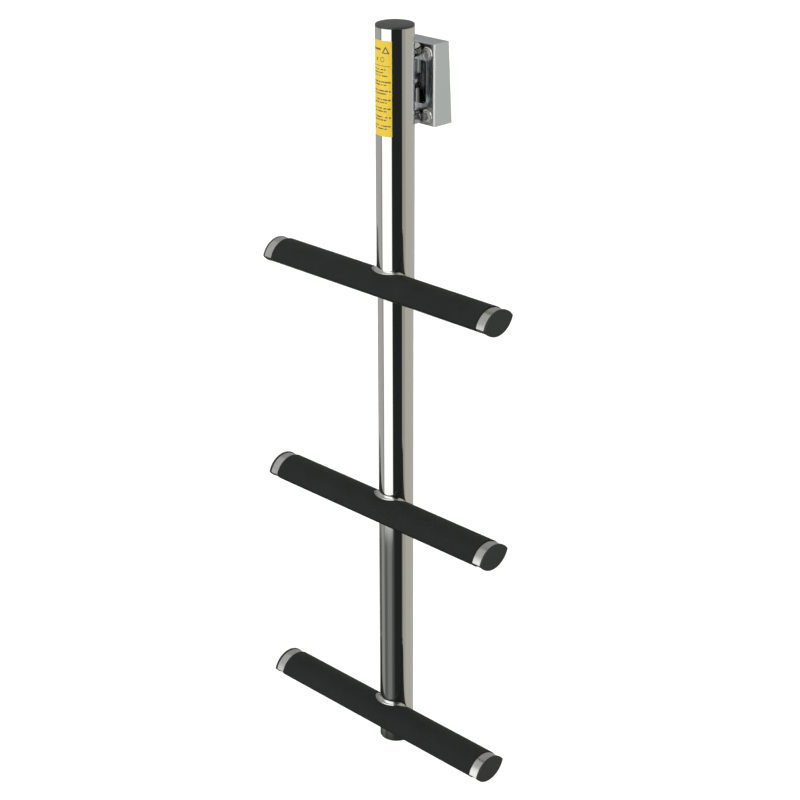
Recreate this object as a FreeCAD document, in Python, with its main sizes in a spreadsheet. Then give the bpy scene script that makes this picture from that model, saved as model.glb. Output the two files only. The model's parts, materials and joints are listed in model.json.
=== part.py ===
"""Boat boarding ladder: a telescoping single-pole ladder that hangs on a transom bracket.

The ladder frame used by the sheet has the pole's axis at x = y = 0 and the pole's top rim
at z = 0. The climber stands at -Y and the transom is at +Y. The finished model is moved so
that its origin is the middle of the four transom bolts on the bracket's back face.
"""
import FreeCAD, Part
import math
import os
import Sketcher

DIMENSIONS = (
    ("outer_dia", 50.8, "outer pole, outside diameter"),
    ("outer_wall", 0.9, "outer pole, wall"),
    ("outer_length", 362.0, "outer pole, rim to lower end"),
    ("inner_dia", 48.3, "inner pole, outside diameter"),
    ("inner_wall", 1.5, "inner pole, wall"),
    ("pole_overlap", 85.0, "length of inner pole held inside the outer pole"),
    ("pole_travel", 255.0, "how far the inner pole slides up"),
    ("first_step", 341.0, "rim to the middle of the first step"),
    ("step_pitch", 332.0, "distance from one step to the next"),
    ("stub_length", 44.5, "inner pole below the middle of the last step"),
    ("slot_width", 8.0, "guide slot in the outer pole"),
    ("slot_turn", 55.0, "guide slot, angle from the rear towards -X"),
    ("screw_drop", 12.0, "guide screw below the inner pole's upper end"),
    ("screw_head_dia", 7.2, "guide screw head"),
    ("screw_proud", 1.6, "guide screw head beyond the outer pole"),
    ("screw_shank_dia", 5.0, "guide screw shank"),
    ("nut_width", 9.0, "guide nut, across its flats"),
    ("nut_thick", 4.0, "guide nut"),
    ("step_length", 420.0, "step over its end caps"),
    ("cap_flange", 3.0, "step end cap, visible thickness"),
    ("cap_proud", 0.8, "step end cap, proud of the step's tube"),
    ("cap_spigot", 16.0, "step end cap, length of the part inside the step"),
    ("bare_band", 14.0, "bare metal between tread and end cap"),
    ("lens_radius", 28.6, "radius of the step's upper and lower faces"),
    ("lens_rise", 16.4, "height of each face above the chord"),
    ("lens_middle", -25.4, "chord's middle, in front of the pole's axis"),
    ("lens_tilt", 9.8, "chord's tilt, front edge low"),
    ("step_wall", 1.5, "step, wall"),
    ("tread_thick", 1.2, "rubber tread"),
    ("tread_cutout", 6.6, "gap in the tread round the pole"),
    ("first_tread_edge", 6.7, "first tread's lower edge, below the step's middle"),
    ("first_tread_skew", 0.5, "first tread's lower edge, skew"),
    ("tread_edge", 14.0, "other treads' lower edge, below the step's middle"),
    ("weld_size", 6.0, "weld bead between pole and step, width"),
    ("weld_height", 2.4, "weld bead, height above the step"),
    ("bracket_width", 60.0, "bracket housing, across"),
    ("bracket_top", 26.0, "rim to the bracket's upper edge"),
    ("bracket_tall", 109.0, "bracket housing, height at the front"),
    ("bracket_front", 41.5, "pole's axis to the bracket's front face"),
    ("bracket_back", 71.5, "pole's axis to the back face at the bolts' middle"),
    ("bracket_sheet", 2.5, "bracket housing, sheet"),
    ("fold_radius", 2.4, "bracket housing, outside of the folds"),
    ("back_sheet", 3.0, "bracket back plate"),
    ("wedge_angle", 3.5, "back plate's lean"),
    ("bolt_drop", 81.5, "rim to the bolts' middle"),
    ("bolt_across", 34.0, "bolt spacing across"),
    ("bolt_tall", 82.0, "bolt spacing up and down"),
    ("bolt_hole_dia", 9.0, "clearance for an 8 mm bolt"),
    ("sleeve_dia", 16.0, "bolt sleeve, outside"),
    ("collar_dia", 18.0, "domed collar on a sleeve's front end"),
    ("collar_proud", 3.0, "domed collar, out of the bracket's front face"),
    ("window_top", 50.0, "rim to the window's upper edge"),
    ("window_bottom", 107.0, "rim to the window's lower edge"),
    ("window_width", 30.0, "window in the bracket's front"),
    ("window_corner", 5.0, "window corner radius"),
    ("hanger_thick", 6.0, "hanger plate"),
    ("hanger_top", 67.0, "rim to the hanger plate's upper edge in front"),
    ("hanger_foot", 87.0, "rim to the hanger plate's lower edge in front"),
    ("hook_reach", 49.0, "pole's axis to the hook's back"),
    ("hook_top", 47.0, "rim to the hook's upper edge"),
    ("hook_tip", 122.0, "rim to the hook's lower tip"),
    ("hook_gap", 0.4, "clearance between hook and bracket sheet"),
    ("seat_gap", 0.3, "clearance over the window's lower edge"),
    ("pin_hole_dia", 6.0, "hanger plate's pin hole"),
    ("pin_hole_drop", 76.5, "rim to the pin hole"),
    ("pin_hole_reach", 35.5, "pole's axis to the pin hole"),
    ("standoff_dia", 20.0, "standoff stud"),
    ("pad_dia", 15.0, "rubber pad on a standoff"),
    ("pad_thick", 3.0, "rubber pad on a standoff"),
    ("upper_standoff", 36.0, "rim to the upper standoff"),
    ("lower_standoff", 124.5, "rim to the lower standoff"),
    ("label_arc", 73.0, "label's angle round the pole"),
    ("label_top", 15.0, "rim to the label's upper edge"),
    ("label_tall", 124.0, "label's height"),
    ("label_thick", 0.25, "label"),
    ("plug_rim", 3.2, "top plug's rim height"),
    ("plug_dome", 2.0, "top plug's dome above its rim"),
    ("plug_depth", 15.0, "top plug's skirt"),
    ("plug_wall", 3.0, "moulded plug walls"),
    ("glide_depth", 18.0, "glide plug's skirt"),
    ("glide_flange", 4.0, "glide plug's flange height"),
    ("glide_clearance", 0.05, "glide flange in the outer pole"),
    ("foot_rim", 3.0, "foot plug's rim height"),
    ("foot_dome", 3.0, "foot plug's dome"),
    ("reach", 200.0, "how far cutting shapes run past the parts"),
)

doc = FreeCAD.newDocument("boarding_ladder")
sheet = doc.addObject("Spreadsheet::Sheet", "sheet")
size = {}
for row, (alias, value, note) in enumerate(DIMENSIONS, start=1):
    sheet.set("A%d" % row, note)
    sheet.set("B%d" % row, str(value))
    sheet.setAlias("B%d" % row, alias)
    size[alias] = value
doc.recompute()

nodes = []


def keep(feature, label, drop="0", turn=None):
    """Name a finished sub-part and place it, drop below the rim, in the model's frame."""
    feature.Label = label
    if turn is not None:
        feature.setExpression("Placement.Rotation.Angle", turn)
    feature.setExpression("Placement.Base.y", "-sheet.bracket_back * 1mm")
    feature.setExpression("Placement.Base.z", "(sheet.bolt_drop - (%s)) * 1mm" % drop)
    nodes.append(feature)
    return feature


def origin_plane(body, role):
    """One of the body's own base planes."""
    for item in body.Origin.OriginFeatures:
        if item.Role == role:
            return item
    raise RuntimeError("no plane " + role)


def new_sketch(body, name, role):
    """An empty sketch on one of the body's base planes."""
    sketch = body.newObject("Sketcher::SketchObject", name)
    sketch.AttachmentSupport = (origin_plane(body, role), [""])
    sketch.MapMode = "FlatFace"
    return sketch


def polygon(body, name, role, corners):
    """A closed outline whose corners are given as pairs of sheet expressions."""
    sketch = new_sketch(body, name, role)
    count = len(corners)
    start = [FreeCAD.Vector(math.cos(2 * math.pi * i / count), math.sin(2 * math.pi * i / count), 0)
             for i in range(count)]
    for i in range(count):
        sketch.addGeometry(Part.LineSegment(start[i], start[(i + 1) % count]), False)
    for i in range(count):
        sketch.addConstraint(Sketcher.Constraint("Coincident", i, 2, (i + 1) % count, 1))
    for i, (across, up) in enumerate(corners):
        for kind, text, value in (("DistanceX", across, start[i].x), ("DistanceY", up, start[i].y)):
            index = sketch.addConstraint(Sketcher.Constraint(kind, -1, 1, i, 1, value))
            sketch.setExpression("Constraints[%d]" % index, "(%s) * 1mm" % text)
    return sketch


def circles(body, name, role, items):
    """Circles given as expressions for centre across, centre up and radius."""
    sketch = new_sketch(body, name, role)
    for i, (across, up, radius) in enumerate(items):
        sketch.addGeometry(Part.Circle(FreeCAD.Vector(i, i, 0), FreeCAD.Vector(0, 0, 1), 5.0), False)
        for kind, text in (("DistanceX", across), ("DistanceY", up)):
            index = sketch.addConstraint(Sketcher.Constraint(kind, -1, 1, i, 3, float(i)))
            sketch.setExpression("Constraints[%d]" % index, "(%s) * 1mm" % text)
        index = sketch.addConstraint(Sketcher.Constraint("Radius", i, 5.0))
        sketch.setExpression("Constraints[%d]" % index, "(%s) * 1mm" % radius)
    return sketch


def pad(body, sketch, length, both=False, reverse=False):
    """Extrude a sketch by a sheet expression."""
    feature = body.newObject("PartDesign::Pad", sketch.Name + "_pad")
    feature.Profile = sketch
    feature.setExpression("Length", "(%s) * 1mm" % length)
    feature.Midplane = both
    feature.Reversed = reverse
    sketch.Visibility = False
    return feature


def pocket(body, sketch, length=None, reverse=False):
    """Cut a sketch out, right through both ways unless a length is given."""
    doc.recompute()
    before = body.Shape.Volume
    feature = body.newObject("PartDesign::Pocket", sketch.Name + "_pocket")
    feature.Profile = sketch
    feature.Reversed = reverse
    if length is None:
        feature.Type = "ThroughAll"
        feature.Midplane = True
    else:
        feature.setExpression("Length", "(%s) * 1mm" % length)
    doc.recompute()
    if body.Shape.Volume > before - 1e-6:
        raise RuntimeError(sketch.Name + " cuts nothing")
    return feature


def revolve(body, sketch):
    """Turn a sketch on the XZ plane about the upright axis."""
    feature = body.newObject("PartDesign::Revolution", sketch.Name + "_turned")
    feature.Profile = sketch
    feature.ReferenceAxis = (sketch, ["V_Axis"])
    feature.Angle = 360.0
    return feature


def cylinder(name, radius, height, along="Z", x="0", y="0", z="0", middle=True):
    """A bound cylinder along X, Y or Z, centred on its own length unless told otherwise."""
    item = doc.addObject("Part::Cylinder", name)
    item.setExpression("Radius", "(%s) * 1mm" % radius)
    item.setExpression("Height", "(%s) * 1mm" % height)
    axis, angle = {"X": ((0, 1, 0), 90), "Y": ((1, 0, 0), -90), "Z": ((0, 0, 1), 0)}[along]
    item.Placement.Rotation = FreeCAD.Rotation(FreeCAD.Vector(*axis), angle)
    places = {"X": x, "Y": y, "Z": z}
    if middle:
        places[along] = "(%s) - (%s) / 2" % (places[along], height)
    for letter, text in places.items():
        item.setExpression("Placement.Base." + letter.lower(), "(%s) * 1mm" % text)
    return item


def box(name, corner, lengths):
    """A bound box from its lowest corner and its three lengths."""
    item = doc.addObject("Part::Box", name)
    for key, text in zip(("Length", "Width", "Height"), lengths):
        item.setExpression(key, "(%s) * 1mm" % text)
    for key, text in zip("xyz", corner):
        item.setExpression("Placement.Base." + key, "(%s) * 1mm" % text)
    return item


def combine(kind, name, base, tool):
    """A boolean of two objects: Cut, Fuse or Common."""
    item = doc.addObject("Part::" + kind, name)
    item.Base = base
    item.Tool = tool
    return item


# ---------------------------------------------------------------- poles and their plugs

def outer_pole():
    """The upper pole: a polished tube with a long guide slot in its left rear."""
    body = doc.addObject("PartDesign::Body", "outer_pole")
    ring = circles(body, "outer_pole_ring", "XY_Plane", (
        ("0", "0", "sheet.outer_dia / 2"),
        ("0", "0", "sheet.outer_dia / 2 - sheet.outer_wall")))
    pad(body, ring, "sheet.outer_length", reverse=True)
    # the slot runs from just under the extended screw to just over the stowed screw
    slot = new_sketch(body, "outer_pole_slot", "XZ_Plane")
    half = size["slot_width"] / 2
    low = -(size["outer_length"] - size["pole_overlap"] + size["screw_drop"])
    high = low + size["pole_travel"]
    slot.addGeometry(Part.LineSegment(FreeCAD.Vector(-half, low, 0), FreeCAD.Vector(-half, high, 0)), False)
    slot.addGeometry(Part.LineSegment(FreeCAD.Vector(half, low, 0), FreeCAD.Vector(half, high, 0)), False)
    for level, first, last in ((high, 0, math.pi), (low, math.pi, 2 * math.pi)):
        round_end = Part.Circle(FreeCAD.Vector(0, level, 0), FreeCAD.Vector(0, 0, 1), half)
        slot.addGeometry(Part.ArcOfCircle(round_end, first, last), False)
    for first, first_end, second, second_end in ((0, 2, 2, 2), (1, 2, 2, 1), (0, 1, 3, 1), (1, 1, 3, 2)):
        slot.addConstraint(Sketcher.Constraint("Tangent", first, first_end, second, second_end))
    middle_low = slot.addConstraint(Sketcher.Constraint("DistanceY", -1, 1, 3, 3, low))
    middle_high = slot.addConstraint(Sketcher.Constraint("DistanceY", -1, 1, 2, 3, high))
    width = slot.addConstraint(Sketcher.Constraint("Radius", 2, half))
    slot.addConstraint(Sketcher.Constraint("PointOnObject", 2, 3, -2))
    lowest = "-(sheet.outer_length - sheet.pole_overlap + sheet.screw_drop)"
    slot.setExpression("Constraints[%d]" % middle_low, lowest + " * 1mm")
    slot.setExpression("Constraints[%d]" % middle_high, "(%s + sheet.pole_travel) * 1mm" % lowest)
    slot.setExpression("Constraints[%d]" % width, "sheet.slot_width / 2 * 1mm")
    cut = pocket(body, slot, "sheet.outer_dia", reverse=False)
    if body.Shape.BoundBox.YMax < size["outer_dia"] / 2 - 1e-3:
        raise RuntimeError("the slot cut both walls")
    rear = FreeCAD.Vector(0, size["outer_dia"] / 2 - size["outer_wall"] / 2, (low + high) / 2)
    if body.Shape.isInside(rear, 1e-4, True):
        cut.Reversed = True
    return keep(body, "outer_pole", turn="sheet.slot_turn")


def inner_pole():
    """The lower pole: it hangs out of the outer pole and carries two steps."""
    body = doc.addObject("PartDesign::Body", "inner_pole")
    ring = circles(body, "inner_pole_ring", "XY_Plane", (
        ("0", "0", "sheet.inner_dia / 2"),
        ("0", "0", "sheet.inner_dia / 2 - sheet.inner_wall")))
    length = ("sheet.first_step + 2 * sheet.step_pitch + sheet.stub_length"
              " - (sheet.outer_length - sheet.pole_overlap)")
    pad(body, ring, length, reverse=True)
    bore = circles(body, "inner_pole_screw_hole", "XZ_Plane", (
        ("0", "-sheet.screw_drop", "sheet.screw_shank_dia / 2"),))
    cut = pocket(body, bore, "sheet.inner_dia", reverse=False)
    rear = FreeCAD.Vector(0, size["inner_dia"] / 2 - size["inner_wall"] / 2, -size["screw_drop"])
    if body.Shape.isInside(rear, 1e-4, True):
        cut.Reversed = True
    return keep(body, "inner_pole", drop="sheet.outer_length - sheet.pole_overlap",
                turn="sheet.slot_turn")


def top_plug():
    """Moulded plug in the pole's open top: a low dome, a rim and a hollow skirt."""
    body = doc.addObject("PartDesign::Body", "top_plug")
    rim = "sheet.outer_dia / 2"
    skirt = "sheet.outer_dia / 2 - sheet.outer_wall"
    outline = polygon(body, "top_plug_outline", "XZ_Plane", (
        ("0", "sheet.plug_rim + sheet.plug_dome"),
        (rim + " * 0.45", "sheet.plug_rim + sheet.plug_dome * 0.86"),
        (rim + " * 0.8", "sheet.plug_rim + sheet.plug_dome * 0.42"),
        (rim + " - 0.6", "sheet.plug_rim"),
        (rim, "sheet.plug_rim - 0.9"),
        (rim, "0"),
        (skirt, "0"),
        (skirt, "-sheet.plug_depth"),
        (skirt + " - sheet.plug_wall", "-sheet.plug_depth"),
        (skirt + " - sheet.plug_wall", "0"),
        ("0", "0")))
    revolve(body, outline)
    return keep(body, "top_plug")


def glide_plug():
    """Nylon plug in the inner pole's upper end: its flange glides in the outer pole."""
    body = doc.addObject("PartDesign::Body", "glide_plug")
    flange = "sheet.outer_dia / 2 - sheet.outer_wall - sheet.glide_clearance"
    skirt = "sheet.inner_dia / 2 - sheet.inner_wall"
    bore = skirt + " - sheet.plug_wall"
    outline = polygon(body, "glide_plug_outline", "XZ_Plane", (
        (bore, "sheet.glide_flange"),
        (flange + " - 0.8", "sheet.glide_flange"),
        (flange, "sheet.glide_flange - 0.8"),
        (flange, "0"),
        (skirt, "0"),
        (skirt, "-sheet.glide_depth / 3"),
        (bore, "-sheet.glide_depth / 3")))
    revolve(body, outline)
    return keep(body, "glide_plug", drop="sheet.outer_length - sheet.pole_overlap")


def foot_plug():
    """Domed plug that closes the inner pole's lower end."""
    body = doc.addObject("PartDesign::Body", "foot_plug")
    rim = "sheet.inner_dia / 2"
    skirt = "sheet.inner_dia / 2 - sheet.inner_wall"
    outline = polygon(body, "foot_plug_outline", "XZ_Plane", (
        ("0", "-sheet.foot_rim - sheet.foot_dome"),
        (rim + " * 0.5", "-sheet.foot_rim - sheet.foot_dome * 0.8"),
        (rim + " * 0.85", "-sheet.foot_rim - sheet.foot_dome * 0.3"),
        (rim, "-sheet.foot_rim + 0.9"),
        (rim, "0"),
        (skirt, "0"),
        (skirt, "sheet.plug_depth"),
        (skirt + " - sheet.plug_wall", "sheet.plug_depth"),
        (skirt + " - sheet.plug_wall", "0"),
        ("0", "0")))
    revolve(body, outline)
    return keep(body, "foot_plug",
                drop="sheet.first_step + 2 * sheet.step_pitch + sheet.stub_length")


def guide_screw():
    """Screw in the inner pole whose head runs in the outer pole's slot and stops the slide."""
    outside = "sheet.outer_dia / 2 + sheet.screw_proud"
    seat = "sheet.inner_dia / 2 + 0.2"
    shank = cylinder("guide_shank", "sheet.screw_shank_dia / 2", "8", "Y",
                     y="sheet.inner_dia / 2 - 6", middle=False)
    head = cylinder("guide_head", "sheet.screw_head_dia / 2", "(%s) - (%s)" % (outside, seat), "Y",
                    y=seat, middle=False)
    screw = combine("Fuse", "guide_screw", shank, head)
    return keep(screw, "guide_screw", turn="sheet.slot_turn",
                drop="sheet.outer_length - sheet.pole_overlap + sheet.screw_drop")


def guide_nut():
    """Square nut inside the inner pole that holds the guide screw."""
    body = doc.addObject("PartDesign::Body", "guide_nut")
    half = "sheet.nut_width / 2"
    outline = polygon(body, "guide_nut_outline", "XZ_Plane", (
        ("-" + half, "-" + half), (half, "-" + half), (half, half), ("-" + half, half)))
    pad(body, outline, "sheet.inner_dia / 2 - sheet.inner_wall - 0.6", reverse=True)
    near = polygon(body, "guide_nut_inside", "XZ_Plane", (
        ("-sheet.nut_width", "-sheet.nut_width"), ("sheet.nut_width", "-sheet.nut_width"),
        ("sheet.nut_width", "sheet.nut_width"), ("-sheet.nut_width", "sheet.nut_width")))
    pocket(body, near, "sheet.inner_dia / 2 - sheet.inner_wall - 0.6 - sheet.nut_thick")
    hole = circles(body, "guide_nut_hole", "XZ_Plane", (("0", "0", "sheet.screw_shank_dia / 2"),))
    pocket(body, hole)
    return keep(body, "guide_nut", turn="sheet.slot_turn",
                drop="sheet.outer_length - sheet.pole_overlap + sheet.screw_drop")


def label():
    """Adhesive label on the climber's side of the outer pole."""
    radius = size["outer_dia"] / 2
    half = math.radians(size["label_arc"] / 2)
    outline = Part.makeCylinder(radius + size["label_thick"], size["label_tall"])
    bare = Part.makeCylinder(radius, size["label_tall"])
    reach = radius * 2
    wedge = Part.Face(Part.makePolygon([
        FreeCAD.Vector(0, 0, 0),
        FreeCAD.Vector(-reach * math.sin(half), -reach * math.cos(half), 0),
        FreeCAD.Vector(reach * math.sin(half), -reach * math.cos(half), 0),
        FreeCAD.Vector(0, 0, 0)])).extrude(FreeCAD.Vector(0, 0, size["label_tall"]))
    feature = doc.addObject("Part::Feature", "warning_label")
    feature.Shape = outline.cut(bare).common(wedge)
    return keep(feature, "warning_label", drop="sheet.label_top + sheet.label_tall")


# ---------------------------------------------------------------- steps

LENS_DROP = "(sheet.lens_radius - sheet.lens_rise)"


def lens(name, grow, length, shift="0"):
    """A prism along X with two round faces that meet in a back and a front edge."""
    faces = []
    for side, sign in (("upper", "-"), ("lower", "")):
        y = "sheet.lens_middle %s %s * sin(-sheet.lens_tilt * 1deg)" % ("-" if sign else "+", LENS_DROP)
        z = "%s%s * cos(sheet.lens_tilt * 1deg)" % (sign, LENS_DROP)
        faces.append(cylinder(name + "_" + side, "sheet.lens_radius + (%s)" % grow, length, "X",
                              x=shift, y=y, z=z))
    return combine("Common", name, faces[0], faces[1])


def step(number, drop, pole_dia, edge, skew):
    """One step: lens-shaped tube, rubber tread, two end caps and the weld round the pole.

    The tread wraps round both edges and ends at edge below the step's middle.
    """
    prefix = "step_%d_" % number
    bare_length = "(sheet.step_length - 2 * sheet.cap_flange)"
    tread_length = "(%s - 2 * sheet.bare_band)" % bare_length
    pole = cylinder(prefix + "pole", pole_dia + " / 2", "sheet.reach")

    shell = combine("Cut", prefix + "shell", lens(prefix + "skin", "0", bare_length),
                    lens(prefix + "hollow", "-sheet.step_wall", bare_length + " + 2"))
    keep(combine("Cut", prefix + "tube", shell, pole), prefix + "tube", drop)

    rubber = combine("Cut", prefix + "rubber", lens(prefix + "cover", "sheet.tread_thick", tread_length),
                     lens(prefix + "core", "0", tread_length + " + 2"))
    under = doc.addObject("Part::Box", prefix + "under")
    under_size = (("Length", "2 * sheet.step_length"), ("Width", "sheet.reach"), ("Height", "sheet.reach"))
    for key, text in under_size:
        under.setExpression(key, text + " * 1mm")
    under.Placement.Rotation = FreeCAD.Rotation(FreeCAD.Vector(0, 1, 0), 1)
    under.setExpression("Placement.Rotation.Angle", skew + " * 1deg")
    under.setExpression("Placement.Base.x", "-sheet.step_length * cos(%s * 1deg) * 1mm" % skew
                        + " - sheet.reach * sin(%s * 1deg) * 1mm" % skew)
    under.setExpression("Placement.Base.y", "-sheet.reach * 0.5mm")
    under.setExpression("Placement.Base.z", "(sheet.step_length * sin(%s * 1deg) - %s" % (skew, edge)
                        + " - sheet.reach * cos(%s * 1deg)) * 1mm" % skew)
    over = combine("Cut", prefix + "over", rubber, under)
    relief = cylinder(prefix + "relief", pole_dia + " / 2 + sheet.tread_cutout", "sheet.reach")
    keep(combine("Cut", prefix + "tread", over, relief), prefix + "tread", drop)

    for side, sign in (("left", "-"), ("right", "")):
        flange_at = "%s(sheet.step_length - sheet.cap_flange) / 2" % sign
        spigot_at = "%s(%s - sheet.cap_spigot) / 2" % (sign, bare_length)
        name = prefix + "cap_" + side
        flange = lens(name + "_flange", "sheet.cap_proud", "sheet.cap_flange", flange_at)
        spigot = lens(name + "_spigot", "-sheet.step_wall - 0.1", "sheet.cap_spigot", spigot_at)
        keep(combine("Fuse", name, flange, spigot), name, drop)

    # the bead lies on the step's faces round the pole
    collar = cylinder(prefix + "collar", pole_dia + " / 2 + sheet.weld_size", "sheet.reach")
    over_skin = lens(prefix + "bead_height", "sheet.weld_height", bare_length)
    bead = combine("Common", prefix + "bead", collar, over_skin)
    clear_pole = combine("Cut", prefix + "bead_off_pole", bead, pole)
    solid = lens(prefix + "solid", "0", bare_length)
    keep(combine("Cut", prefix + "weld", clear_pole, solid), prefix + "weld", drop)


# ---------------------------------------------------------------- hanger and bracket

def hanger_plate():
    """Plate on the pole's rear with a hook that drops behind the bracket's front sheet."""
    body = doc.addObject("PartDesign::Body", "hanger_plate")
    inside = "sheet.bracket_front + sheet.bracket_sheet + sheet.hook_gap"
    outside = "sheet.bracket_front - sheet.hook_gap"
    seat = "-sheet.window_bottom + sheet.seat_gap"
    outline = polygon(body, "hanger_outline", "YZ_Plane", (
        ("sheet.outer_dia / 2 - 4", "-sheet.hanger_top"),
        (inside, "-sheet.hanger_top"),
        (inside, "-sheet.hook_top"),
        ("sheet.hook_reach", "-sheet.hook_top"),
        ("sheet.hook_reach", "-sheet.hook_tip + 2"),
        ("sheet.hook_reach - 2", "-sheet.hook_tip"),
        (inside, "-sheet.hook_tip"),
        (inside, seat),
        (outside, seat),
        (outside, "-sheet.hanger_foot"),
        ("sheet.outer_dia / 2 - 4", "-sheet.hanger_foot")))
    pad(body, outline, "sheet.hanger_thick", both=True)
    pocket(body, circles(body, "hanger_pole", "XY_Plane", (("0", "0", "sheet.outer_dia / 2"),)))
    pocket(body, circles(body, "hanger_pin_hole", "YZ_Plane", (
        ("sheet.pin_hole_reach", "-sheet.pin_hole_drop", "sheet.pin_hole_dia / 2"),)))
    return keep(body, "hanger_plate")


def standoff(name, drop):
    """Stud on the pole's rear that keeps it off the bracket, with a rubber pad on its end."""
    face = "sheet.bracket_front - sheet.hook_gap"
    pole = cylinder(name + "_pole", "sheet.outer_dia / 2", "sheet.reach")
    stud = cylinder(name + "_stud", "sheet.standoff_dia / 2",
                    face + " - sheet.pad_thick - 10", "Y", y="10", middle=False)
    keep(combine("Cut", name, stud, pole), name, drop)
    rubber = cylinder(name + "_rubber", "sheet.pad_dia / 2", "sheet.pad_thick", "Y",
                      y=face + " - sheet.pad_thick", middle=False)
    keep(combine("Cut", name + "_pad", rubber, pole), name + "_pad", drop)


def at_bolts(name, make):
    """Four copies of one shape at the transom bolts' places, as one object.

    make gets a name and the expressions for the bolt's place across and up.
    """
    copies = []
    for across in ("-", ""):
        for up in ("-", "+"):
            copies.append(make(name + str(len(copies)), across + "sheet.bolt_across / 2",
                               "-sheet.bolt_drop %s sheet.bolt_tall / 2" % up))
    group = doc.addObject("Part::MultiFuse", name)
    group.Shapes = copies
    return group


def bolt_pegs(name, radius, start, length):
    """Four cylinders along Y at the transom bolts' places, from start onwards."""
    return at_bolts(name, lambda peg, across, up: cylinder(
        peg, radius, length, "Y", x=across, y=start, z=up, middle=False))


def ball(name, radius, x, y, z):
    """A bound sphere."""
    item = doc.addObject("Part::Sphere", name)
    item.setExpression("Radius", "(%s) * 1mm" % radius)
    for letter, text in zip("xyz", (x, y, z)):
        item.setExpression("Placement.Base." + letter, "(%s) * 1mm" % text)
    return item


def behind_back_plate(name, inset, thick):
    """A leaning slab whose near face is inset in front of the bracket's back face."""
    slab = doc.addObject("Part::Box", name)
    slab.setExpression("Length", "(sheet.bracket_width + 20) * 1mm")
    slab.setExpression("Width", "(%s) * 1mm" % thick)
    slab.setExpression("Height", "2 * sheet.reach * 1mm")
    slab.Placement.Rotation = FreeCAD.Rotation(FreeCAD.Vector(1, 0, 0), size["wedge_angle"])
    slab.setExpression("Placement.Rotation.Angle", "sheet.wedge_angle * 1deg")
    slab.setExpression("Placement.Base.x", "-(sheet.bracket_width / 2 + 10) * 1mm")
    slab.setExpression("Placement.Base.y",
                       "(sheet.bracket_back + sheet.reach * sin(sheet.wedge_angle * 1deg)"
                       " - (%s) * cos(sheet.wedge_angle * 1deg)) * 1mm" % inset)
    slab.setExpression("Placement.Base.z", "(-sheet.bolt_drop - sheet.reach * cos(sheet.wedge_angle * 1deg)"
                       " - (%s) * sin(sheet.wedge_angle * 1deg)) * 1mm" % inset)
    return slab


def bracket_housing():
    """Folded wedge-shaped shell with a window for the hook and an open back."""
    front = "sheet.bracket_front"
    top = "-sheet.bracket_top"
    bottom = "(-sheet.bracket_top - sheet.bracket_tall)"
    outer = box("housing_outer", ("-sheet.bracket_width / 2", front, bottom),
                ("sheet.bracket_width", "sheet.reach", "sheet.bracket_tall"))
    rounded = doc.addObject("Part::Fillet", "housing_rounded")
    rounded.Base = outer
    doc.recompute()
    upright = [index for index, edge in enumerate(outer.Shape.Edges, start=1)
               if abs(edge.CenterOfMass.y - size["bracket_front"]) < 1e-6]
    rounded.Edges = [(index, size["fold_radius"], size["fold_radius"]) for index in upright]
    sheet_thick = "sheet.bracket_sheet"
    inner = box("housing_inner",
                ("-sheet.bracket_width / 2 + " + sheet_thick, front + " + " + sheet_thick,
                 bottom + " + " + sheet_thick),
                ("sheet.bracket_width - 2 * " + sheet_thick, "sheet.reach",
                 "sheet.bracket_tall - 2 * " + sheet_thick))
    shell = combine("Cut", "housing_shell", rounded, inner)
    window_box = box("window_box", ("-sheet.window_width / 2", front + " - 5", "-sheet.window_bottom"),
                     ("sheet.window_width", "10", "sheet.window_bottom - sheet.window_top"))
    doc.recompute()
    window = doc.addObject("Part::Fillet", "window")
    window.Base = window_box
    along_y = [index for index, edge in enumerate(window_box.Shape.Edges, start=1)
               if abs(edge.CenterOfMass.y - size["bracket_front"]) < 1e-6]
    window.Edges = [(index, size["window_corner"], size["window_corner"]) for index in along_y]
    opened = combine("Cut", "housing_opened", shell, window)
    bored = combine("Cut", "housing_bored", opened,
                    bolt_pegs("housing_holes", "sheet.sleeve_dia / 2 + 0.05", front + " - 5", "12"))
    beyond = behind_back_plate("housing_cut", "0", "2 * sheet.reach")
    keep(combine("Cut", "bracket_housing", bored, beyond), "bracket_housing")


def bracket_back_plate():
    """Leaning back plate inside the housing, drilled for the transom bolts."""
    slab = behind_back_plate("back_slab", "sheet.back_sheet", "sheet.back_sheet")
    fit = "sheet.bracket_sheet"
    inside = box("back_room", ("-sheet.bracket_width / 2 + " + fit, "sheet.bracket_front",
                               "-sheet.bracket_top - sheet.bracket_tall + " + fit),
                 ("sheet.bracket_width - 2 * " + fit, "sheet.reach", "sheet.bracket_tall - 2 * " + fit))
    plate = combine("Common", "back_blank", slab, inside)
    holes = bolt_pegs("back_holes", "sheet.bolt_hole_dia / 2", "sheet.bracket_front", "sheet.reach")
    keep(combine("Cut", "bracket_back_plate", plate, holes), "bracket_back_plate")


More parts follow.
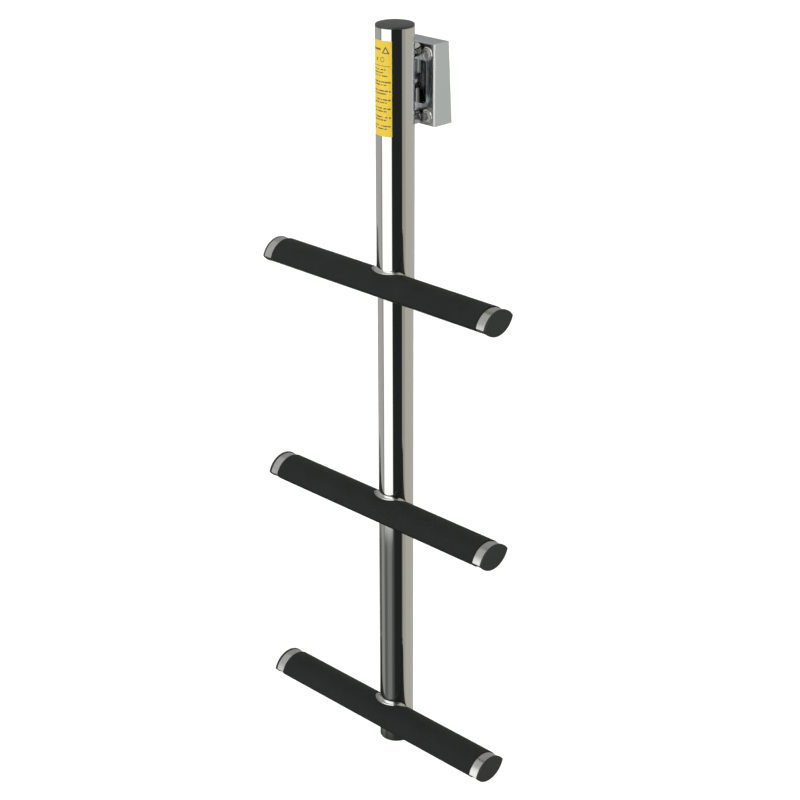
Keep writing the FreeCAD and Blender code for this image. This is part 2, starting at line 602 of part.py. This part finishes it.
def bolt_sleeves():
    """Four tubes that carry the bolts' clamping load, each with a domed collar in front."""
    front = "sheet.bracket_front"
    tubes = bolt_pegs("sleeve_tubes", "sheet.sleeve_dia / 2", front + " - sheet.collar_proud / 2",
                      "sheet.reach")
    # a ball of this radius stands collar_proud out of the face over a circle of collar_dia
    radius = "((sheet.collar_dia / 2)^2 + sheet.collar_proud^2) / (2 * sheet.collar_proud)"
    balls = at_bolts("collar_balls", lambda name, across, up: ball(
        name, radius, across, "%s - sheet.collar_proud + %s" % (front, radius), up))
    before = box("before_bracket", ("-sheet.reach / 2", front + " - sheet.reach", "-sheet.reach * 1.5"),
                 ("sheet.reach", "sheet.reach", "2 * sheet.reach"))
    collars = combine("Common", "collars", balls, before)
    solid = combine("Fuse", "sleeve_solid", tubes, collars)
    bores = bolt_pegs("sleeve_bore", "sheet.bolt_hole_dia / 2", front + " - 10", "sheet.reach")
    walls = combine("Cut", "sleeve_walls", solid, bores)
    beyond = behind_back_plate("sleeve_cut", "sheet.back_sheet", "2 * sheet.reach")
    keep(combine("Cut", "bolt_sleeves", walls, beyond), "bolt_sleeves")


outer_pole()
inner_pole()
top_plug()
glide_plug()
foot_plug()
guide_screw()
guide_nut()
label()
step(1, "sheet.first_step", "sheet.outer_dia", "sheet.first_tread_edge", "sheet.first_tread_skew")
step(2, "sheet.first_step + sheet.step_pitch", "sheet.inner_dia", "sheet.tread_edge", "0")
step(3, "sheet.first_step + 2 * sheet.step_pitch", "sheet.inner_dia", "sheet.tread_edge", "0")
hanger_plate()
standoff("upper_standoff", "sheet.upper_standoff")
standoff("lower_standoff", "sheet.lower_standoff")
bracket_housing()
bracket_back_plate()
bolt_sleeves()
doc.recompute()

faults = [item.Name for item in doc.Objects if "Invalid" in item.State or "Error" in item.State]
if faults:
    raise RuntimeError("failed objects: " + ", ".join(faults))
for node in nodes:
    if node.Shape.isNull() or not node.Shape.isValid() or not node.Shape.Solids:
        raise RuntimeError("bad shape: " + node.Label)

os.makedirs("parts", exist_ok=True)
for node in nodes:
    node.Shape.exportStep("parts/%s.step" % node.Label)
    extent = node.Shape.BoundBox
    print("%-22s %d solid(s) %9.0f mm3  y %7.1f %7.1f  z %8.1f %8.1f" % (
        node.Label, len(node.Shape.Solids), node.Shape.Volume,
        extent.YMin, extent.YMax, extent.ZMin, extent.ZMax))
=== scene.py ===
"""Boat boarding ladder: fine shapes, finishes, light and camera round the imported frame."""

import json
import math

import bpy
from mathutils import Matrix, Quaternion, Vector


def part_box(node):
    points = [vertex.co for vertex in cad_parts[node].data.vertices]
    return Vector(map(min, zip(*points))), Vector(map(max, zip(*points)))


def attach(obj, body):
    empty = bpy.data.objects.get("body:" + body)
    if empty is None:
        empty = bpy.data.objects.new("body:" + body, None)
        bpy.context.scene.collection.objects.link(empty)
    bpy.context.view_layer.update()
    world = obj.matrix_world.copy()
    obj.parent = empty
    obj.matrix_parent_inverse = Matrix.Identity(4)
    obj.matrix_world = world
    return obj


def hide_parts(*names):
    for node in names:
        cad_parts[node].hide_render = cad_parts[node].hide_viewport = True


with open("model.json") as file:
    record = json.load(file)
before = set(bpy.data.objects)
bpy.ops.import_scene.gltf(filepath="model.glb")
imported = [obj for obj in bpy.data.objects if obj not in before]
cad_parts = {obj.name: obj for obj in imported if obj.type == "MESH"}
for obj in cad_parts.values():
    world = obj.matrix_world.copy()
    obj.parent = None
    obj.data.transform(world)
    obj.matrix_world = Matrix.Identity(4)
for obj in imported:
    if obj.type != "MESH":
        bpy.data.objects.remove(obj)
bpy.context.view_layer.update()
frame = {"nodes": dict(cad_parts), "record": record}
nodes = frame["nodes"]

# ---------------------------------------------------------------- the two poles
# Two drawn stainless tubes: the upper one hangs on the bracket, the lower one slides in it.
# Both are mirror-polished; a few dull rub marks run along them where they have been handled.


class Flow:
    """A shader socket: operators on it add Math nodes, and node() adds any other node."""

    def __init__(self, tree, socket):
        self.tree = tree
        self.socket = socket

    def node(self, kind, settings=None, inputs=None, output=0):
        """Add a node: its settings first, then the values or links of its sockets."""
        made = self.tree.nodes.new(kind)
        for name, value in (settings or {}).items():
            if name == "stops":
                ramp = made.color_ramp
                for place, colour in value[2:]:
                    ramp.elements.new(place)
                for element, (place, colour) in zip(ramp.elements, value):
                    element.position = place
                    element.color = (*colour, 1.0)
            else:
                setattr(made, name, value)
        for name, value in (inputs or {}).items():
            if isinstance(name, str):
                socket = next(s for s in made.inputs if s.enabled and s.name == name)
            else:
                socket = made.inputs[name]
            if isinstance(value, Flow):
                self.tree.links.new(value.socket, socket)
            elif socket.type == "RGBA":
                socket.default_value = (*value, 1.0)
            else:
                socket.default_value = value
        shown = [s for s in made.outputs if s.enabled]
        return Flow(self.tree, shown[output])

    def maths(self, operation, *values):
        """A Math node on this value and up to two more."""
        return self.node("ShaderNodeMath", {"operation": operation}, dict(enumerate((self, *values))))

    def __add__(self, other):
        return self.maths("ADD", other)

    def __sub__(self, other):
        return self.maths("SUBTRACT", other)

    def __rsub__(self, other):
        return (self * -1.0) + other

    def __mul__(self, other):
        return self.maths("MULTIPLY", other)

    def __truediv__(self, other):
        return self.maths("DIVIDE", other)

    def __lt__(self, other):
        return self.maths("LESS_THAN", other)

    def __gt__(self, other):
        return self.maths("GREATER_THAN", other)

    __radd__ = __add__
    __rmul__ = __mul__

    def __abs__(self):
        return self.maths("ABSOLUTE")

    def mix(self, low, high):
        """Blend two colours, with this value as the factor."""
        return self.node("ShaderNodeMix", {"data_type": "RGBA"},
                         {"Factor": self, "A": low, "B": high})

    def noise(self, scale, detail=2.0, stretch=(1.0, 1.0, 1.0)):
        """Noise from 0 to 1 on these coordinates; stretch scales each axis first."""
        placed = self.node("ShaderNodeMapping", None, {"Vector": self, "Scale": stretch})
        return self.node("ShaderNodeTexNoise", None,
                         {"Vector": placed, "Scale": scale, "Detail": detail})

    def axis(self, index):
        """One of the three parts of a vector."""
        return self.node("ShaderNodeSeparateXYZ", None, {"Vector": self}, index)

    def bump(self, strength, distance):
        """A normal from this height, with distance in metres."""
        return self.node("ShaderNodeBump", None,
                         {"Height": self, "Strength": strength, "Distance": distance})


def finish(name, colour, roughness, metallic=0.0, specular=0.5):
    """A new material with plain values on its shader; gives it, its shader and its coordinates."""
    made = bpy.data.materials.new(name)
    made.use_nodes = True
    tree = made.node_tree
    shader = tree.nodes["Principled BSDF"]
    shader.inputs["Base Color"].default_value = (*colour, 1.0)
    shader.inputs["Roughness"].default_value = roughness
    shader.inputs["Metallic"].default_value = metallic
    shader.inputs["Specular IOR Level"].default_value = specular
    return made, shader, Flow(tree, tree.nodes.new("ShaderNodeTexCoord").outputs["Object"])


def feed(shader, socket, flow):
    """Link a varying value to one of the shader's sockets."""
    flow.tree.links.new(flow.socket, shader.inputs[socket])


def paint(material, *names):
    """Give CAD nodes this material through their slots."""
    for name in names:
        mesh = nodes[name].data
        mesh.materials.clear()
        mesh.materials.append(material)


steel = (0.66, 0.655, 0.635)
mirror_steel, shader, at = finish("mirror_steel", steel, 0.04, 1.0)
along_the_pole = (1.0, 1.0, 0.12)
rubbed = at.noise(14.0, 4.0, along_the_pole)
feed(shader, "Roughness", rubbed.maths("POWER", 3.0) * 0.09 + 0.025)
feed(shader, "Base Color", (rubbed * 0.6).mix(steel, (0.61, 0.61, 0.60)))
paint(mirror_steel, "outer_pole", "inner_pole")

outer_low, outer_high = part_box("outer_pole")
inner_low, inner_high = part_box("inner_pole")
pole_y = (outer_low.y + outer_high.y) / 2
outer_radius = (outer_high.x - outer_low.x) / 2
inner_radius = (inner_high.x - inner_low.x) / 2
rim_height = outer_high.z

# ---------------------------------------------------------------- plugs
# Moulded black plastic plugs pushed into the pole's open ends: a low dome on top, where the hand
# lands, and a foot that keeps the tube off the hull. Their edges are rounded by the mould.


body_of_node = {name: body for body, names in frame["record"]["behaviour"]["bodies"].items()
                for name in names}


def deselect():
    """Leave edit mode, with nothing selected."""
    if bpy.context.object and bpy.context.object.mode != "OBJECT":
        bpy.ops.object.mode_set(mode="OBJECT")
    bpy.ops.object.select_all(action="DESELECT")


same_point = 0.00001
flat_within = 0.4


def merged_copy(node):
    """A merged copy of a CAD node's mesh that stands for the node and rides on its body."""
    deselect()
    piece = bpy.data.objects.new(node + "_fine", nodes[node].data.copy())
    bpy.context.scene.collection.objects.link(piece)
    bpy.context.view_layer.objects.active = piece
    piece.select_set(True)
    bpy.ops.object.mode_set(mode="EDIT")
    bpy.ops.mesh.select_all(action="SELECT")
    bpy.ops.mesh.remove_doubles(threshold=same_point)
    bpy.ops.mesh.customdata_custom_splitnormals_clear()
    bpy.ops.mesh.dissolve_limited(angle_limit=math.radians(flat_within))
    bpy.ops.object.mode_set(mode="OBJECT")
    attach(piece, body_of_node[node])
    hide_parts(node)
    return piece


def round_edges(piece, width, segments=3, sharpest=35.0):
    """Round every edge that turns by more than sharpest degrees, then smooth the shading."""
    deselect()
    bpy.context.view_layer.objects.active = piece
    piece.select_set(True)
    bevel = piece.modifiers.new("rounded", "BEVEL")
    bevel.width = width
    bevel.segments = segments
    bevel.limit_method = "ANGLE"
    bevel.angle_limit = math.radians(sharpest)
    bpy.ops.object.modifier_apply(modifier=bevel.name)
    bpy.ops.object.shade_smooth_by_angle(angle=math.radians(30.0))
    even = piece.modifiers.new("flat_faces_stay_flat", "WEIGHTED_NORMAL")
    even.keep_sharp = True
    even.weight = 100
    bpy.ops.object.modifier_apply(modifier=even.name)


def dress(piece, material):
    """One finish all over."""
    piece.data.materials.clear()
    piece.data.materials.append(material)


black_plastic, shader, at = finish("moulded_black_plastic", (0.016, 0.018, 0.017), 0.46, specular=0.4)
cloud = at.noise(60.0, 3.0)
feed(shader, "Roughness", cloud * 0.16 + 0.38)
feed(shader, "Base Color", cloud.mix((0.009, 0.0125, 0.0115), (0.019, 0.0245, 0.0225)))
feed(shader, "Normal", at.noise(2600.0, 2.0).bump(0.35, 0.0002))

# The top plug's plastic is lighter than the foot's: a painted sheen, with random scuffed tone over it.
sheen_painted_plastic, shader, at = finish("black_plastic_painted_sheen", (0.035, 0.039, 0.038), 0.5, specular=0.5)
scuffs = at.noise(110.0, 4.0)
feed(shader, "Roughness", scuffs * 0.2 + 0.38)
feed(shader, "Base Color", scuffs.mix((0.024, 0.027, 0.026), (0.050, 0.055, 0.054)))
feed(shader, "Normal", at.noise(2600.0, 2.0).bump(0.35, 0.0002))

plug_edge = 0.0007
for node, plastic in (("top_plug", sheen_painted_plastic), ("foot_plug", black_plastic)):
    plug = merged_copy(node)
    round_edges(plug, plug_edge)
    dress(plug, plastic)

nylon, shader, at = finish("natural_nylon", (0.72, 0.70, 0.64), 0.38)
feed(shader, "Base Color", at.noise(90.0, 3.0).mix((0.66, 0.64, 0.57), (0.78, 0.76, 0.70)))
paint(nylon, "glide_plug")

# ---------------------------------------------------------------- steps
# A lens-section stainless tube, linished to a satin grain that runs round it, shows as a bare band
# at each end. The rubber is a moulded cover glued on; black plastic caps are pushed into the ends.

step_names = ("step_1", "step_2", "step_3")
pole_radius_at = {"step_1": outer_radius, "step_2": inner_radius, "step_3": inner_radius}

satin_steel, shader, at = finish("satin_steel", (0.63, 0.63, 0.61), 0.24, 1.0)
grain = at.noise(900.0, 2.0, (1.0, 0.06, 0.06))
feed(shader, "Roughness", grain * 0.14 + 0.16)
feed(shader, "Base Color", at.noise(35.0, 3.0).mix((0.58, 0.58, 0.56), (0.68, 0.68, 0.66)))
feed(shader, "Normal", grain.bump(0.12, 0.00005))
paint(satin_steel, *(name + "_tube" for name in step_names))

tread_rubber, shader, at = finish("tread_rubber", (0.008, 0.009, 0.0085), 0.62, specular=0.22)
worn = at.noise(26.0, 4.0)
pebble = at.noise(1100.0, 3.0)
feed(shader, "Base Color",
     (worn * 0.5 + pebble * 0.5).mix((0.001, 0.002, 0.0015), (0.018, 0.0215, 0.020)))
feed(shader, "Roughness", worn * 0.16 + pebble * 0.1 + 0.48)
feed(shader, "Normal", pebble.bump(0.8, 0.0007))

tread_edge = 0.0005
cap_edge = 0.0004
cap_rim = 0.0022
cap_dish = 0.0004

for name in step_names:
    tread = merged_copy(name + "_tread")
    round_edges(tread, tread_edge, 2)
    dress(tread, tread_rubber)
    for side, outward in (("_cap_left", -1.0), ("_cap_right", 1.0)):
        cap = merged_copy(name + side)
        low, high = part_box(name + side)
        end_x = high.x if outward > 0 else low.x
        for face in cap.data.polygons:
            faces_out = face.normal.x * outward > 0.99
            face.select = faces_out and abs(face.center.x - end_x) < 0.0002
        deselect()
        bpy.context.view_layer.objects.active = cap
        cap.select_set(True)
        bpy.ops.object.mode_set(mode="EDIT")
        bpy.ops.mesh.select_mode(type="FACE")
        bpy.ops.mesh.dissolve_faces()
        bpy.ops.mesh.inset(thickness=cap_rim, depth=-cap_dish)
        bpy.ops.object.mode_set(mode="OBJECT")
        round_edges(cap, cap_edge, 2, 30.0)
        dress(cap, black_plastic)

# ---------------------------------------------------------------- welds
# Each step is TIG welded to the pole above and below, and each standoff to the pole's rear. The
# bead is polished with the pole: a hollow fillet with a low roll where it meets the step.

weld_steel, shader, at = finish("polished_weld", (0.60, 0.60, 0.58), 0.16, 1.0)
feed(shader, "Roughness", at.noise(160.0, 3.0) * 0.22 + 0.08)
feed(shader, "Normal", at.noise(420.0, 2.0).bump(0.35, 0.0006))

bead_length_cuts = 71
bead_profile_points = 20
outline_on_top = 0.6
roll_start = 0.55
roll_share = 0.30


def bead_profile(turn, width, height, sunk):
    """Distance out and height of the bead's closed outline, for turn from 0 to 1."""
    if turn < outline_on_top:
        along = turn / outline_on_top
        top = height * (1.0 - math.sin(along * math.pi / 2)) ** 1.6
        if along > roll_start:
            swell = math.sin((along - roll_start) / (1.0 - roll_start) * math.pi)
            top += roll_share * height * max(0.0, swell)
        return along * width, top
    back = (turn - outline_on_top) / (1.0 - outline_on_top)
    return width * (1.0 - back), -sunk


def bead(name, place, body):
    """A closed bar of bead_profile_points sides, laid out by place(along, turn)."""
    deselect()
    bpy.ops.mesh.primitive_cylinder_add(vertices=bead_profile_points, radius=1.0, depth=2.0)
    piece = bpy.context.object
    piece.name = name
    bpy.ops.object.mode_set(mode="EDIT")
    bpy.ops.mesh.select_all(action="DESELECT")
    bpy.ops.mesh.select_mode(type="EDGE")
    bpy.ops.object.mode_set(mode="OBJECT")
    for edge in piece.data.edges:
        first, second = (piece.data.vertices[v].co for v in edge.vertices)
        edge.select = abs(first.z - second.z) > 1.0
    bpy.ops.object.mode_set(mode="EDIT")
    bpy.ops.mesh.subdivide(number_cuts=bead_length_cuts)
    bpy.ops.object.mode_set(mode="OBJECT")
    for vertex in piece.data.vertices:
        turn = (math.atan2(vertex.co.y, vertex.co.x) / (2 * math.pi)) % 1.0
        vertex.co = place((vertex.co.z + 1.0) / 2, turn)
    bpy.ops.object.mode_set(mode="EDIT")
    bpy.ops.mesh.select_all(action="SELECT")
    bpy.ops.mesh.normals_make_consistent(inside=False)
    bpy.ops.object.mode_set(mode="OBJECT")
    bpy.ops.object.shade_smooth_by_angle(angle=math.radians(50.0))
    dress(piece, weld_steel)
    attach(piece, body)
    return piece


weld_width = 0.0052
weld_height = 0.0038
weld_sunk = 0.0006
weld_into_wall = 0.0003


def face_arc(middle, half_chord, outward, up, farthest):
    """Centre and radius of a step face's arc, with its rise settled so that it reaches farthest."""
    rise = abs(farthest - middle.y)
    for _ in range(30):
        arc = (half_chord * half_chord + rise * rise) / (2 * rise)
        centre = middle + outward * (rise - arc)
        rise += abs(farthest - middle.y) - abs(centre.y + up * arc - middle.y)
    arc = (half_chord * half_chord + rise * rise) / (2 * rise)
    return middle + outward * (rise - arc), arc


for name in step_names:
    # in the vertical plane along the pole, each face is an arc from the rear edge to the front one
    low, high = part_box(name + "_tube")
    tube_points = [vertex.co for vertex in nodes[name + "_tube"].data.vertices]
    rear = max(tube_points, key=lambda point: point.y)
    front = min(tube_points, key=lambda point: point.y)
    chord = Vector((front.y - rear.y, front.z - rear.z))
    middle = Vector((front.y + rear.y, front.z + rear.z)) / 2
    normal = Vector((chord.y, -chord.x)).normalized()
    radius = pole_radius_at[name]
    for side, up, farthest in (("upper", 1.0, high.z), ("lower", -1.0, low.z)):
        outward = normal * up if normal.y > 0 else normal * -up
        centre, arc = face_arc(middle, chord.length / 2, outward, up, farthest)

        def place(along, turn, centre=centre, arc=arc, up=up, radius=radius):
            swing = math.pi * (1.0 + along)
            taper = min(1.0, 0.25 + 1.4 * math.sin(math.pi * along))
            out, lift = bead_profile(turn, weld_width, weld_height * taper, weld_sunk)
            reach = radius - weld_into_wall + out
            x = reach * math.cos(swing)
            y = pole_y + reach * math.sin(swing)
            face_height = centre.y + up * math.sqrt(max(arc * arc - (y - centre.x) ** 2, 0.0))
            return Vector((x, y, face_height + up * lift))

        made = bead(name + "_" + side + "_weld", place, body_of_node[name + "_weld"])
        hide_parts(name + "_weld")

standoff_weld_width = 0.0042
standoff_weld_height = standoff_weld_width * 0.8
for node in ("upper_standoff", "lower_standoff"):
    low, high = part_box(node)
    stud = (high.x - low.x) / 2
    level = (high.z + low.z) / 2

    def place(along, turn, stud=stud, level=level):
        swing = 2 * math.pi * along
        out, lift = bead_profile(turn, standoff_weld_width, standoff_weld_height, weld_sunk)
        reach = stud - weld_into_wall + out
        x = reach * math.cos(swing)
        y = pole_y + math.sqrt(outer_radius ** 2 - x * x) + lift
        return Vector((x, y, level + reach * math.sin(swing)))

    bead(node + "_weld", place, body_of_node[node])

# ---------------------------------------------------------------- hanger and standoffs
# The hook plate and the two studs are stainless, welded to the pole's rear and polished with it.
# Rubber pads are pressed on the studs. The guide screw and its nut run in the upper pole's slot.

small_edge = 0.0006
pad_edge = 0.0005
screw_edge = 0.0003

for node in ("hanger_plate", "upper_standoff", "lower_standoff"):
    part = merged_copy(node)
    round_edges(part, small_edge, 2)
    dress(part, mirror_steel)

pad_rubber, shader, at = finish("pad_rubber", (0.014, 0.014, 0.014), 0.7)
feed(shader, "Normal", at.noise(1200.0, 3.0).bump(0.4, 0.0003))
feed(shader, "Base Color", at.noise(70.0, 3.0).mix((0.010, 0.010, 0.010), (0.020, 0.020, 0.019)))
for node in ("upper_standoff_pad", "lower_standoff_pad"):
    pad = merged_copy(node)
    round_edges(pad, pad_edge, 2)
    dress(pad, pad_rubber)

fastener_steel, shader, at = finish("fastener_steel", (0.58, 0.58, 0.57), 0.3, 1.0)
feed(shader, "Roughness", at.noise(500.0, 2.0) * 0.2 + 0.2)
for node in ("guide_screw", "guide_nut"):
    part = merged_copy(node)
    round_edges(part, screw_edge, 2)
    dress(part, fastener_steel)

# ---------------------------------------------------------------- bracket
# A wedge-shaped shell folded from polished stainless sheet, its window cut for the hook. Four
# domed sleeves carry the transom bolts through it to a leaning plate at its back. The front folds
# and the sleeves' domes carry a painted highlight: a paler, less metallic finish than the sheet.

sheet_edge = 0.0007
plate_edge = 0.0004

bracket_steel, shader, at = finish("bracket_steel", (0.64, 0.67, 0.67), 0.07, 1.0)
streak = at.noise(30.0, 4.0, (1.0, 1.0, 0.3))
feed(shader, "Roughness", streak * 0.14 + 0.13)
feed(shader, "Base Color", streak.mix((0.63, 0.685, 0.72), (0.68, 0.735, 0.77)))

housing = merged_copy("bracket_housing")
round_edges(housing, sheet_edge)
dress(housing, bracket_steel)
# painted highlight: the front folds get a pale, barely metallic finish that stands in for the light
# they catch
fold_painted_highlight, shader, at = finish("fold_painted_highlight", (0.94, 0.945, 0.94), 0.42, 0.15, 0.6)
feed(shader, "Roughness", at.noise(300.0, 3.0) * 0.2 + 0.3)
housing.data.materials.append(fold_painted_highlight)
# faces turned to the front-right and front-left take the painted highlight finish
for face in housing.data.polygons:
    across_the_fold = min(abs(face.normal.x), -face.normal.y) > 0.25 and abs(face.normal.z) < 0.2
    if across_the_fold and face.area > 0.00001:
        face.material_index = 1
plate = merged_copy("bracket_back_plate")
round_edges(plate, plate_edge, 2)
dress(plate, bracket_steel)
sleeves = merged_copy("bolt_sleeves")
bpy.ops.object.shade_smooth_by_angle(angle=math.radians(30.0))
# painted highlight: the sleeves' domes get a near-white, part-diffuse finish that stands in for the
# bright reflection on chrome
collar_painted_highlight, shader, at = finish("collar_painted_highlight", (0.90, 0.90, 0.885), 0.26, 0.75)
feed(shader, "Roughness", at.noise(400.0, 2.0) * 0.14 + 0.19)
dress(sleeves, collar_painted_highlight)

# ---------------------------------------------------------------- label
# A printed vinyl label stuck round the front of the upper pole. Its sign is a plain triangle and
# its print is rows of plain bars.

label_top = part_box("warning_label")[1].z
ink = (0.085, 0.052, 0.010)
yellow = (0.78, 0.54, 0.030)

printed_label, shader, at = finish("printed_label", yellow, 0.42)

# millimetres on the label: across from its middle line, and down from its top edge
mm = 1000.0
across = at.axis(0).maths("ARCTAN2", (at.axis(1) - pole_y) * -1.0) * (outer_radius * mm)
down = (at.axis(2) * -mm) + label_top * mm


def between(value, low, high):
    """1 where the value lies between low and high, 0 elsewhere."""
    return (value > low) * (value < high)


def either(first, second):
    """Both masks together."""
    return first.maths("MAXIMUM", second)


# the sign: a plain triangle with a smaller one left out of its middle
sign_middle, sign_top, sign_tall, sign_half = 7.6, 6.6, 9.6, 5.8
from_top = down - sign_top
from_middle = abs(across - sign_middle)
triangle = (from_middle < from_top * (sign_half / sign_tall)) * between(from_top, 0.0, sign_tall)
hollow_top, hollow_foot = 3.2, 8.2
hollow = ((from_middle < (from_top - hollow_top) * (sign_half / sign_tall))
          * between(from_top, hollow_top, hollow_foot))
print_mask = triangle * (1.0 - hollow)

# a heading bar left of the sign, and a ring and an arrow head below it
print_mask = either(print_mask, between(across, -14.0, 0.0) * between(down, 10.0, 12.6))
ring_across, ring_down = 2.6, 24.0
ring_out = ((across - ring_across).maths("POWER", 2.0)
            + (down - ring_down).maths("POWER", 2.0)).maths("SQRT")
print_mask = either(print_mask, between(ring_out, 2.5, 3.3))
head_left, head_right = -9.0, -5.5
arrow_head = abs(down - ring_down) < (across - head_left) * 0.8
print_mask = either(print_mask, arrow_head * between(across, head_left, head_right))

# rows of plain bars, each broken at its own places by noise that changes from row to row
row_pitch = 3.9
row_number = (down / row_pitch).maths("FLOOR")
row_place = across.node("ShaderNodeCombineXYZ", None,
                        {"X": across * 0.55, "Y": row_number * 7.3})
unbroken = row_place.noise(1.0, 0.0) > 0.40
rows = between(down, 31.8, 32.5)
for level, end in ((36.2, 8.0), (40.2, 4.0), (44.2, 12.5)):
    rows = either(rows, between(down, level, level + 1.5) * (across < end) * unbroken)
pairs_start, pairs_end, pair_pitch = 52.0, 116.0, 11.45
phase = (down - pairs_start).maths("MODULO", pair_pitch)
pairs = either(between(phase, 0.0, 1.7), between(phase, row_pitch, 5.5) * (across < 9.0))
rows = either(rows, pairs * unbroken * between(down, pairs_start, pairs_end))
dots = between(phase, 0.0, 2.0) * between(across, 12.2, 14.3) * between(down, 51.5, 104.0)
rows = either(rows, dots)
print_margin = 14.4
print_mask = either(print_mask, rows * between(across, -print_margin, print_margin))
feed(shader, "Base Color", (print_mask * 0.9).mix(
    at.noise(40.0, 3.0).mix((0.74, 0.52, 0.028), (0.81, 0.58, 0.040)), ink))
feed(shader, "Roughness", print_mask * 0.12 + 0.38)
paint(printed_label, "warning_label")

# ---------------------------------------------------------------- studio room
# The room that the polish mirrors: a white screen on one side, a dark end, and a warm grey wall on
# the other side. Lower down the walls are darker, and the air behind the ladder is plain white.

camera_azimuth = math.radians(45.12)

world = bpy.data.worlds.new("studio_room")
bpy.context.scene.world = world
world.use_nodes = True
tree = world.node_tree
ray = Flow(tree, tree.nodes.new("ShaderNodeTexCoord").outputs["Generated"])
turned = ray.node("ShaderNodeMapping", None,
                  {"Vector": ray, "Rotation": (0.0, 0.0, math.pi / 2 - camera_azimuth)})
round_room = turned.axis(1).maths("ARCTAN2", turned.axis(0)) / (2 * math.pi) + 0.5


def walls(soft, *stretches):
    """Ramp stops for walls given as start in degrees, 0 at the dark end's middle, and colour."""
    stops = []
    for start, colour in stretches:
        place = start / 360.0 + 0.5
        if stops:
            stops.append((place - soft, stops[-1][1]))
        stops.append((place + soft, colour))
    return stops


hard_edge = 0.004
soft_edge = 0.014
screen = (1.6, 1.6, 1.58)
screen_frame = (0.10, 0.10, 0.10)
dark_end = (0.022, 0.026, 0.024)
warm_wall = (0.60, 0.585, 0.53)
warm_corner = (0.46, 0.455, 0.41)
cool_wall = (0.52, 0.52, 0.515)
back_wall = (0.36, 0.355, 0.345)
upper_room = round_room.node("ShaderNodeValToRGB", {"stops": walls(
    hard_edge, (-180.0, back_wall), (-150.0, cool_wall), (-90.0, screen_frame), (-85.0, screen),
    (-21.0, dark_end), (42.0, warm_corner), (64.0, warm_wall),
    (150.0, back_wall))}, {0: round_room})
lower_room = round_room.node("ShaderNodeValToRGB", {"stops": walls(
    soft_edge, (-180.0, back_wall), (-150.0, (0.12, 0.125, 0.12)), (-118.0, (0.36, 0.365, 0.35)),
    (-88.0, (0.14, 0.155, 0.145)), (-62.0, (0.24, 0.265, 0.25)), (-30.0, (0.09, 0.10, 0.095)),
    (-14.0, dark_end), (42.0, (0.50, 0.49, 0.445)), (66.0, (0.60, 0.58, 0.53)),
    (150.0, back_wall))}, {0: round_room})
floor_shade = (0.035, 0.045, 0.040)
floor_glow = (0.42, 0.41, 0.37)


def below(flow, degrees, sharp):
    """1 for directions that look down more steeply than this, 0 above, with a short ramp."""
    steep = (flow.axis(2) * -1.0 - math.sin(math.radians(degrees))) * sharp
    return steep.maths("MAXIMUM", 0.0).maths("MINIMUM", 1.0)


room = below(ray, 25.8, 40.0).mix(upper_room, lower_room)
room = below(ray, 32.4, 90.0).mix(room, (round_room > 0.62).mix(floor_shade, floor_glow))
background = tree.nodes["Background"]
seen_directly = ray.node("ShaderNodeLightPath")
tree.links.new(seen_directly.mix(room, (1.0, 1.0, 1.0)).socket, background.inputs["Color"])

# ---------------------------------------------------------------- floor and light
# A plain pale floor far below the ladder, and one broad soft light straight above it. Neither is
# mirrored in the polish: only the walls of the room are.

deselect()
floor_drop = 0.6
floor_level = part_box("foot_plug")[0].z - floor_drop
bpy.ops.mesh.primitive_plane_add(size=80.0, location=(0.0, 0.0, floor_level))
floor = bpy.context.object
floor.name = "floor"
floor.visible_glossy = False
pale_floor = finish("pale_floor", (0.93, 0.93, 0.925), 0.9, specular=0.0)[0]
floor.data.materials.append(pale_floor)

overhead_data = bpy.data.lights.new("overhead", "SUN")
overhead_data.energy = 2.1
overhead_data.angle = math.radians(70.0)
overhead = bpy.data.objects.new("overhead", overhead_data)
bpy.context.scene.collection.objects.link(overhead)
overhead.visible_glossy = False

# ---------------------------------------------------------------- camera
# A long lens from the climber's right and above, aimed at the pole about half way down.

camera_elevation = math.radians(23.15)
camera_distance = 2.656
camera_roll = math.radians(0.15)
aim_below_rim = 0.5166
focal_lengths_per_frame = 2.4174
towards = Vector((-math.sin(camera_azimuth) * math.cos(camera_elevation),
                  math.cos(camera_azimuth) * math.cos(camera_elevation),
                  -math.sin(camera_elevation)))
camera_data = bpy.data.cameras.new("camera")
camera_data.sensor_width = 36.0
camera_data.lens = camera_data.sensor_width * focal_lengths_per_frame
camera_data.shift_x = 0.0052
camera = bpy.data.objects.new("camera", camera_data)
bpy.context.scene.collection.objects.link(camera)
camera.location = Vector((0.0, pole_y, rim_height - aim_below_rim)) - towards * camera_distance
camera.rotation_mode = "QUATERNION"
camera.rotation_quaternion = (towards.to_track_quat("-Z", "Y")
                              @ Quaternion((0.0, 0.0, 1.0), -camera_roll))
bpy.context.scene.camera = camera
bpy.context.scene.view_settings.view_transform = "Standard"
